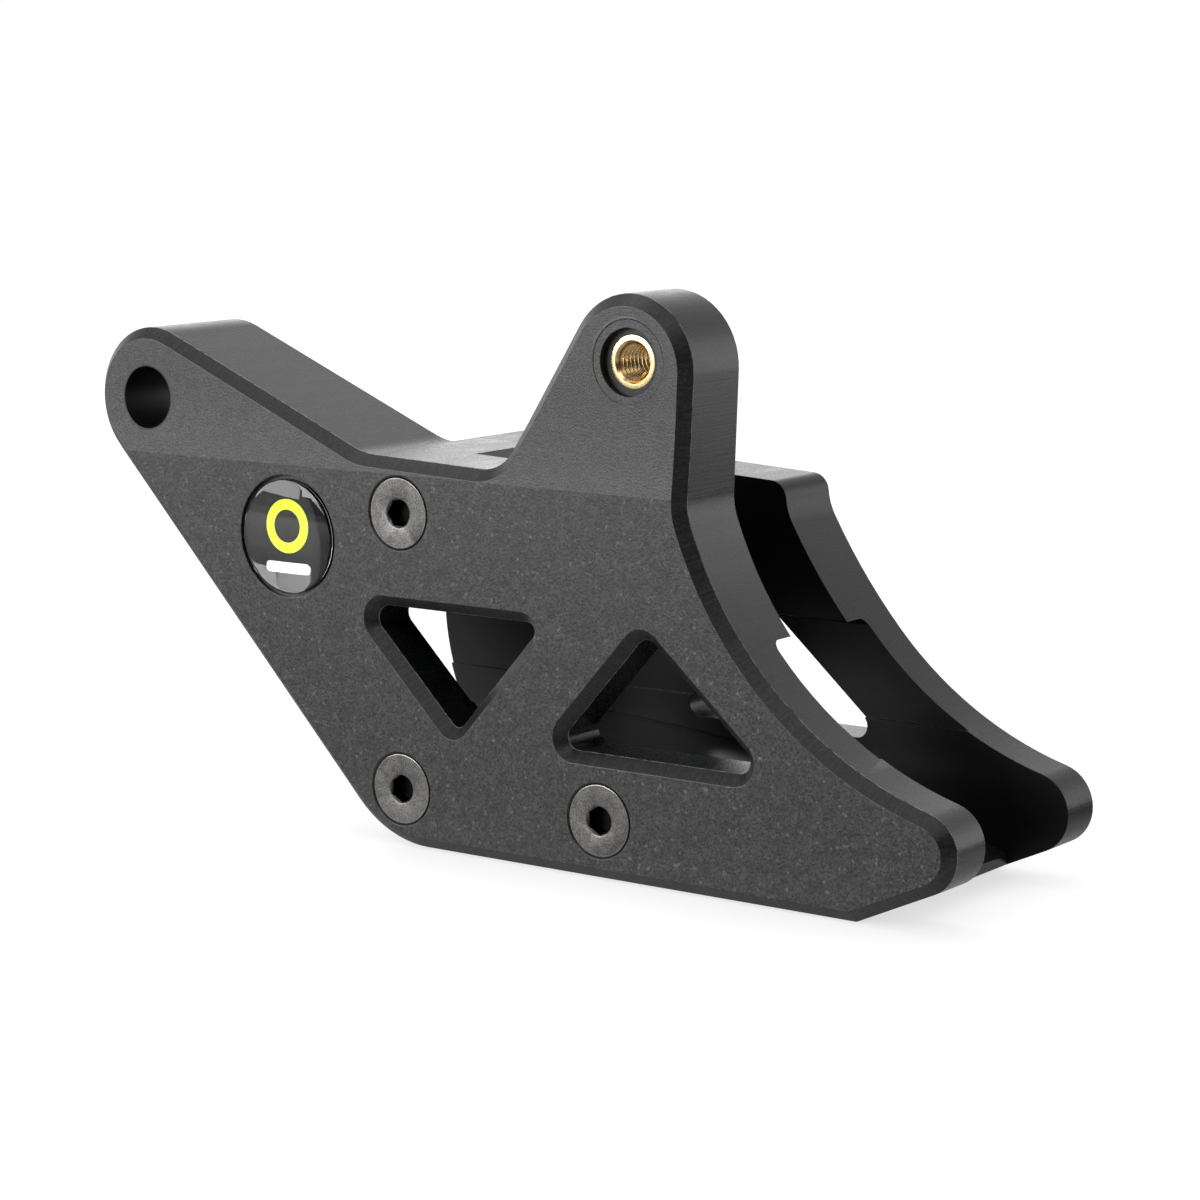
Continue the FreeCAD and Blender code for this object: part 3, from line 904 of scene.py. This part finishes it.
@dataclass
class Cheeks:
    """The near body and the far plate, milled from black plastic."""

    edge: float = 0.09 * MM
    fold_reach: float = 0.02 * MM

    def build(self) -> None:
        """Makes both plates and dresses them."""
        for node, cheek in (("side_body", Cheek.NEAR), ("far_plate", Cheek.FAR)):
            plate = eased_copy(node, f"{cheek.value}_cheek", self.edge)
            if cheek is Cheek.NEAR:
                self.crease_fold(plate)
            even_shading(plate)
            join_to_body(plate, MilledPlastic(cheek).material(), Slot.BODY, node)

    def crease_fold(self, plate: bpy.types.Object) -> None:
        """Keeps the shallow fold across the near face crisp.

        Args:
            plate: The near body.
        """
        open_up(plate, "EDGE")
        bpy.ops.object.mode_set(mode="OBJECT")
        for edge in plate.data.edges:
            ends = [plate.data.vertices[i].co for i in edge.vertices]
            edge.select = all(self.on_fold(end) for end in ends)
        bpy.ops.object.mode_set(mode="EDIT")
        bpy.ops.mesh.mark_sharp()
        bpy.ops.object.mode_set(mode="OBJECT")

    def on_fold(self, point: Vector) -> bool:
        """Whether a point lies on the fold's line."""
        return abs(point.z - FOLD_Z * MM) < self.fold_reach and abs(point.y - NEAR_Y * MM) < self.fold_reach


@dataclass
class WearBlock:
    """The plastic block that the chain runs over."""

    edge: float = 0.25 * MM

    def build(self) -> None:
        """Makes the block and dresses it."""
        block = eased_copy("wear_block", "chain_runner", self.edge)
        even_shading(block)
        join_to_body(block, RunnerPlastic().material(), Slot.RUNNER, "wear_block")


@dataclass
class ThreadedInsert:
    """Brass bush in the ear, with a real thread in its bore. In millimetres."""

    x: float = INSERT_PLACE[0]
    z: float = INSERT_PLACE[1]
    face_y: float = -20.793
    length: float = 10.0
    outer_r: float = 4.15
    mouth_r: float = 3.35
    root_r: float = 2.90
    crest_r: float = 2.42
    pitch: float = 1.0
    half_base: float = 0.44
    half_tip: float = 0.09
    sunk_in: float = 0.04
    turned: float = 0.6
    sides: int = 96
    rim: float = 0.12
    rim_angle: float = 60
    smooth_angle: float = 30
    roughness: float = 0.27
    brass: Colour = (0.94, 0.66, 0.28, 1.0)
    worn: Colour = (1.0, 0.86, 0.56, 1.0)
    # Painted shade in the thread's grooves, deeper than the bush's face.
    shade_colour: Colour = (0.40, 0.16, 0.025, 1.0)

    def build(self) -> None:
        """Makes the bush and its thread and dresses them."""
        bush = self.bush()
        thread = self.thread()
        take_up(bush)
        thread.select_set(True)
        bpy.ops.object.join()
        smooth(bush, self.smooth_angle)
        finish = TurnedMetal(
            "insert brass", self.brass, self.worn, (self.x, self.z), self.roughness,
            shade_r=(self.crest_r * MM, self.root_r * MM), shade_y=(self.face_y + 0.1) * MM, shade_colour=self.shade_colour)
        join_to_body(bush, finish.material(), Slot.BRASS, "ear_insert")

    def bush(self) -> bpy.types.Object:
        """Makes the plain bush: a cylinder with a stepped and bevelled bore.

        Returns:
            The bush, in place.
        """
        put_down()
        centre = (self.x * MM, (self.face_y + self.length / 2) * MM, self.z * MM)
        bpy.ops.mesh.primitive_cylinder_add(
            vertices=self.sides, radius=self.outer_r * MM, depth=self.length * MM, end_fill_type="NGON",
            location=centre, rotation=(math.pi / 2, 0.0, 0.0))
        bush = bpy.context.object
        bush.name = "ear_bush"
        settle(bush)
        for near in (True, False):
            self.open_end(bush, near)
        pick_faces(bush, lambda face: len(face.vertices) == self.sides)
        bpy.ops.mesh.bridge_edge_loops()
        face_outwards()
        bevel(bush, self.rim * MM, steps=2, degrees=self.rim_angle)
        return bush

    def open_end(self, bush: bpy.types.Object, near: bool) -> None:
        """Sinks a cone into one end of the bush, down to the bore.

        Args:
            bush: The bush.
            near: Whether it is the end on the near side.
        """
        inwards = 1.0 if near else -1.0
        lead = self.mouth_r - self.root_r
        end_y = (self.face_y if near else self.face_y + self.length) * MM
        pick_faces(
            bush, lambda face: len(face.vertices) == self.sides and abs(face.center.y - end_y) < SAME_PLACE)
        bpy.ops.mesh.inset(thickness=(self.outer_r - self.mouth_r) * MM, depth=0.0)
        bpy.ops.mesh.inset(thickness=lead * MM, depth=0.0)
        bpy.ops.transform.translate(value=(0.0, inwards * lead * MM, 0.0))
        bpy.ops.object.mode_set(mode="OBJECT")

    def thread(self) -> bpy.types.Object:
        """Makes the ridge of the thread: its section, swept along a helix and closed at both ends.

        Returns:
            The ridge, in place.
        """
        put_down()
        bpy.ops.mesh.primitive_plane_add(size=1.0, location=(0.0, 0.0, 0.0))
        ridge = bpy.context.object
        ridge.name = "ear_thread"
        root = self.root_r + self.sunk_in
        base = self.half_base * self.pitch
        tip = self.half_tip * self.pitch
        section = {0: (root, -base), 2: (root, base), 3: (self.crest_r, tip), 1: (self.crest_r, -tip)}
        for index, (radius, height) in section.items():
            ridge.data.vertices[index].co = Vector((radius * MM, 0.0, height * MM))
        turns = int(self.length / self.pitch) - 1
        sweep = ridge.modifiers.new("Helix", "SCREW")
        sweep.axis = "Z"
        sweep.angle = 2 * math.pi
        sweep.screw_offset = self.pitch * MM
        sweep.iterations = turns
        sweep.steps = self.sides
        sweep.render_steps = self.sides
        sweep.use_merge_vertices = True
        sweep.merge_threshold = SAME_PLACE
        finish_modifiers(ridge)
        open_up(ridge, "VERT", whole=True)
        bpy.ops.mesh.remove_doubles(threshold=SAME_PLACE)
        bpy.ops.mesh.select_all(action="DESELECT")
        bpy.ops.mesh.select_non_manifold(extend=False)
        bpy.ops.mesh.edge_face_add()
        face_outwards()
        ridge.rotation_euler = (math.pi / 2, self.turned, 0.0)
        start = self.face_y + self.length - (self.length - turns * self.pitch) / 2
        ridge.location = (self.x * MM, start * MM, self.z * MM)
        settle(ridge)
        return ridge


@dataclass
class Screws:
    """Three countersunk socket screws of grey steel."""

    edge: float = 0.10 * MM
    head_r: float = 5.75 * MM
    # Painted shade inside the hex socket: the radii over which it comes in, and the depth past which it
    # starts.
    socket_shade_r: Span = (2.5 * MM, 2.3 * MM)
    socket_shade_y: float = (NEAR_Y + 0.15) * MM
    ring_pitch: float = 0.16 * MM
    grain_depth: float = 0.009 * MM
    roughness: float = 0.40
    steel: Colour = (0.085, 0.083, 0.080, 1.0)
    worn: Colour = (0.22, 0.215, 0.205, 1.0)

    def build(self) -> None:
        """Makes each screw and dresses it."""
        for place, x, z in SCREW_PLACES:
            screw = eased_copy(f"screw_{place}", f"socket_screw_{place}", self.edge)
            finish = TurnedMetal(
                f"screw steel {place}", self.steel, self.worn, (x, z), self.roughness, self.head_r,
                self.socket_shade_r, self.socket_shade_y, ring_pitch=self.ring_pitch, grain_depth=self.grain_depth)
            join_to_body(screw, finish.material(), Slot.SCREW, f"screw_{place}")


@dataclass
class LockNuts:
    """Lock nuts in the far plate's pockets, with their nylon rings."""

    edge: float = 0.12 * MM
    corner_r: float = 5.77 * MM
    ring_pitch: float = 0.2 * MM
    grain_depth: float = 0.005 * MM
    roughness: float = 0.34
    zinc: Colour = (0.42, 0.43, 0.45, 1.0)
    worn: Colour = (0.60, 0.61, 0.62, 1.0)

    def build(self) -> None:
        """Makes each nut and ring and dresses them."""
        nylon = Nylon().material()
        for place, x, z in SCREW_PLACES:
            nut = eased_copy(f"nut_{place}", f"lock_nut_{place}", self.edge)
            finish = TurnedMetal(
                f"zinc {place}", self.zinc, self.worn, (x, z), self.roughness, self.corner_r,
                ring_pitch=self.ring_pitch, grain_depth=self.grain_depth)
            join_to_body(nut, finish.material(), Slot.NUT, f"nut_{place}")
            ring = eased_copy(f"nut_ring_{place}", f"lock_ring_{place}", self.edge)
            join_to_body(ring, nylon, Slot.RING, f"nut_ring_{place}")


@dataclass
class Badge:
    """Round badge: black disc with a lime ring and a pale bar, under a clear dome. In millimetres."""

    x: float = 31.3
    z: float = -21.2
    floor_y: float = -21.6
    base_h: float = 0.4
    radius: float = 9.5
    wall_h: float = 0.7
    seat_gap: float = 0.03
    dome_h: float = 1.5
    dome_rim: float = 0.22
    dome_angle: float = 50
    sides: int = 128
    rings: int = 12
    ring_r: float = 3.6
    ring_width: float = 1.7
    ring_up: float = 1.7
    ring_sides: int = 96
    bar_size: Span = (9.4, 1.8)
    bar_rounding: float = 0.46
    bar_down: float = 5.2
    ink: float = 0.03
    edge: float = 0.06
    black: Colour = (0.002, 0.002, 0.002, 1.0)
    lime: Colour = (0.50, 0.74, 0.02, 1.0)
    pale: Colour = (0.72, 0.72, 0.70, 1.0)

    def build(self) -> None:
        """Makes the disc, its print and the dome."""
        base = eased_copy("badge_base", "badge_disc", self.edge * MM)
        join_to_body(base, Print("black ink", self.black).material(), Slot.PRINT, "badge_base")
        join_to_body(self.ring(), Print("lime ink", self.lime).material(), Slot.PRINT)
        join_to_body(self.bar(), Print("pale ink", self.pale).material(), Slot.PRINT)
        dome = self.dome()
        dome.visible_shadow = False
        join_to_body(dome, ClearResin().material(), Slot.CLEAR, "badge_dome")

    def dome(self) -> bpy.types.Object:
        """Makes the clear cover: a low round wall under rings that close to a shallow dome.

        Returns:
            The cover, in place.
        """
        put_down()
        centre_y = self.print_y() - (self.wall_h + self.seat_gap) / 2
        bpy.ops.mesh.primitive_cylinder_add(
            vertices=self.sides, radius=self.radius * MM, depth=(self.wall_h - self.seat_gap) * MM,
            end_fill_type="NGON", location=(self.x * MM, centre_y * MM, self.z * MM),
            rotation=(math.pi / 2, 0.0, 0.0))
        dome = bpy.context.object
        dome.name = "badge_cover"
        settle(dome)
        wall_y = (self.print_y() - self.wall_h) * MM
        pick_faces(
            dome, lambda face: len(face.vertices) == self.sides and abs(face.center.y - wall_y) < SAME_PLACE)
        rise = self.dome_h - self.wall_h
        sphere_r = (self.radius ** 2 + rise ** 2) / (2 * rise)
        sink = sphere_r - rise
        reach = self.radius
        height = 0.0
        for k in range(1, self.rings):
            next_reach = self.radius * (1.0 - k / self.rings)
            next_height = math.sqrt(sphere_r ** 2 - next_reach ** 2) - sink
            bpy.ops.mesh.inset(thickness=(reach - next_reach) * MM, depth=0.0)
            bpy.ops.transform.translate(value=(0.0, -(next_height - height) * MM, 0.0))
            reach, height = next_reach, next_height
        face_outwards()
        bevel(dome, self.dome_rim * MM, steps=4, degrees=self.dome_angle)
        smooth(dome, self.dome_angle)
        return dome

    def print_y(self) -> float:
        """Depth of the printed face, in millimetres."""
        return self.floor_y - self.base_h

    def ring(self) -> bpy.types.Object:
        """Makes the lime ring: a disc with its middle opened and a little thickness.

        Returns:
            The ring, in place.
        """
        put_down()
        centre = (self.x * MM, self.print_y() * MM, (self.z + self.ring_up) * MM)
        bpy.ops.mesh.primitive_circle_add(
            vertices=self.ring_sides, radius=(self.ring_r + self.ring_width / 2) * MM, fill_type="NGON",
            location=centre, rotation=(math.pi / 2, 0.0, 0.0))
        ring = bpy.context.object
        ring.name = "badge_ring"
        settle(ring)
        open_up(ring, "FACE", whole=True)
        bpy.ops.mesh.inset(thickness=self.ring_width * MM, depth=0.0)
        bpy.ops.mesh.delete(type="FACE")
        bpy.ops.object.mode_set(mode="OBJECT")
        self.thicken(ring)
        return ring

    def bar(self) -> bpy.types.Object:
        """Makes the pale bar with rounded ends.

        Returns:
            The bar, in place.
        """
        put_down()
        width, height = self.bar_size
        centre = (self.x * MM, self.print_y() * MM, (self.z - self.bar_down) * MM)
        bpy.ops.mesh.primitive_plane_add(size=1.0, location=centre, rotation=(math.pi / 2, 0.0, 0.0))
        bar = bpy.context.object
        bar.name = "badge_bar"
        bar.scale = (width * MM, height * MM, 1.0)
        settle(bar)
        open_up(bar, "VERT", whole=True)
        bpy.ops.mesh.bevel(offset=self.bar_rounding * height * MM, segments=8, affect="VERTICES")
        bpy.ops.object.mode_set(mode="OBJECT")
        self.thicken(bar)
        return bar

    def thicken(self, shape: bpy.types.Object) -> None:
        """Gives a flat printed shape the thickness of its ink, half of it in the disc.

        Args:
            shape: The printed shape.
        """
        layer = shape.modifiers.new("Ink", "SOLIDIFY")
        layer.thickness = self.ink * MM
        layer.offset = 0.0
        finish_modifiers(shape)
        open_up(shape, "FACE")
        face_outwards()


@dataclass(frozen=True)
class Lamp:
    """Square soft lamp, in metres and watts."""

    name: str
    place: Place
    size: float
    power: float

    def hang(self, target: Place) -> None:
        """Adds the lamp to the scene.

        Args:
            target: What it looks at, in metres.
        """
        put_down()
        turn = (Vector(target) - Vector(self.place)).to_track_quat("-Z", "Y").to_euler()
        bpy.ops.object.light_add(type="AREA", location=self.place, rotation=turn)
        lamp = bpy.context.object
        lamp.name = f"{self.name}_lamp"
        lamp.data.shape = "SQUARE"
        lamp.data.size = self.size
        lamp.data.energy = self.power
        lamp.visible_camera = False


@dataclass
class Studio:
    """White floor and surround, soft lamps and the camera. In metres.

    To the eye the floor and the surround are white. Mirrored in the guide, they are a dim room with a
    bright wall at its back.
    """

    lamps: tuple[Lamp, ...] = (
        Lamp("key", (-0.72, -0.72, 0.28), 0.50, 5.4), Lamp("front", (-0.35, -0.95, 0.25), 0.40, 5.9),
        Lamp("top", (-0.25, 0.10, 1.10), 0.8, 5.6), Lamp("fill", (0.45, -0.62, 0.85), 0.5, 2.0))
    target: Place = (0.075, 0.0, -0.02)
    camera_place: Place = (0.39692, -0.43570, 0.05816)
    camera_right: Place = (0.807861, 0.589371, -0.002928)
    camera_up: Place = (-0.093115, 0.132536, 0.986801)
    camera_ahead: Place = (-0.581977, 0.796920, -0.161949)
    lens: float = 100.825
    sensor: float = 36.0
    clip: Span = (0.01, 50.0)
    room: float = 0.04
    left_wall: float = 0.22
    left_reach: Span = (0.0, 0.7)
    backdrop: float = 1.05
    backdrop_top: float = 0.64
    backdrop_reach: Span = (-0.1, 0.45)
    backdrop_fade: Span = (0.22, 0.5)
    floor_z: float = -70.3 * MM
    floor_size: float = 6.0
    floor_level: float = 0.82
    floor_rough: float = 0.6
    floor_gloss: float = 0.2
    floor_middle: Span = (0.08, 0.0)
    # Painted contact shadow on the floor, from an occlusion node: how far it looks, the brightness to the
    # eye where fully occluded, and what open floor adds.
    contact_reach: float = 0.028
    contact_light: float = 0.68
    contact_shade: float = 0.30
    floor_in_mirrors: float = -0.6
    floor_to_eye: float = -0.85
    glow_starts: Span = (0.28, 0.75)
    glow_behind: Span = (-0.25, 0.15)
    glow_under: Span = (0.03, 0.07)

    def build(self) -> None:
        """Sets up the whole studio."""
        self.world()
        self.floor()
        for lamp in self.lamps:
            lamp.hang(self.target)
        self.camera()

    def world(self) -> None:
        """Surround: white to the eye, mirrored as a bright wall in a dim room, and no light by itself."""
        world = bpy.data.worlds.new("surround")
        bpy.context.scene.world = world
        world.use_nodes = True
        g = Graph(world.node_tree)
        background = next(n for n in g.tree.nodes if n.type == "BACKGROUND")
        x, y, z = g.split(g.add("TexCoord").outputs["Generated"])
        behind = g.between(y, *self.backdrop_reach)
        low = g.rest(g.between(z, *self.backdrop_fade))
        left = g.between(g.product(x, -1.0), *self.left_reach)
        wall = g.product(behind, g.linear(low, self.backdrop, self.backdrop_top))
        mirrored = g.total(g.linear(left, self.left_wall, self.room), wall)
        seen, glossy = g.rays()
        g.feed(background.inputs["Strength"], g.linear(glossy, mirrored, seen))
        background.inputs["Color"].default_value = grey(1.0)

    def floor(self) -> None:
        """White floor with a painted soft contact shadow under the guide, from an occlusion node, and a
        faint cast shadow.
        """
        put_down()
        bpy.ops.mesh.primitive_plane_add(size=self.floor_size, location=(0.0, 0.0, self.floor_z))
        floor = bpy.context.object
        floor.name = "floor"
        settle(floor)
        g = Finish("white floor")
        g.shader.inputs["Roughness"].default_value = self.floor_rough
        g.shader.inputs["Specular IOR Level"].default_value = self.floor_gloss
        g.shader.inputs["Emission Color"].default_value = grey(1.0)
        seen, glossy = g.rays()
        share = g.linear(glossy, self.floor_in_mirrors, g.linear(seen, self.floor_to_eye, 1.0))
        g.feed(g.shader.inputs["Base Color"], g.tint(grey(self.floor_level), share))
        # Painted contact shadow: the floor's brightness to the eye falls where the occlusion node finds the
        # guide close by.
        contact = g.add("AmbientOcclusion", samples=4)
        contact.inputs["Distance"].default_value = self.contact_reach
        shown = g.product(seen, g.linear(contact.outputs["AO"], self.contact_shade, self.contact_light))
        mirrored = g.product(glossy, self.floor_glow(g))
        g.feed(g.shader.inputs["Emission Strength"], g.total(shown, mirrored))
        dress(floor, g.material)

    def floor_glow(self, g: Finish) -> Socket:
        """Brightness of the floor in reflections: dim by the guide, brighter further away and behind it.

        Args:
            g: Finish that it is part of.

        Returns:
            Output for the emission.
        """
        place = g.place()
        depth = g.split(place)[1]
        away = g.between(g.vector("DISTANCE", place, (*self.floor_middle, self.floor_z)), *self.glow_starts)
        under = g.rest(g.between(g.math("ABSOLUTE", depth), *self.glow_under))
        behind = g.between(depth, *self.glow_behind)
        return g.total(g.product(away, g.linear(behind, 1.1, 0.4)), g.linear(under, 0.35, 0.05))

    def camera(self) -> None:
        """Puts the camera where the photograph was taken from."""
        put_down()
        bpy.ops.object.camera_add()
        camera = bpy.context.object
        camera.name = "photo_camera"
        back = tuple(-a for a in self.camera_ahead)
        turn = Matrix((self.camera_right, self.camera_up, back)).transposed().to_4x4()
        camera.matrix_world = Matrix.Translation(self.camera_place) @ turn
        camera.data.sensor_fit = "HORIZONTAL"
        camera.data.sensor_width = self.sensor
        camera.data.lens = self.lens
        camera.data.clip_start, camera.data.clip_end = self.clip
        bpy.context.scene.camera = camera


def main() -> None:
    """Builds the guide's dressed pieces and the studio."""
    logging.basicConfig(level=logging.INFO, format="%(name)s: %(message)s")
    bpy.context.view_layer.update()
    bpy.context.scene.view_settings.view_transform = "Standard"
    for assembly in (Cheeks(), WearBlock(), ThreadedInsert(), Screws(), LockNuts(), Badge(), Studio()):
        assembly.build()
        log.info("%s done", type(assembly).__name__)
    put_down()


if __name__ == "__main__":
    main()
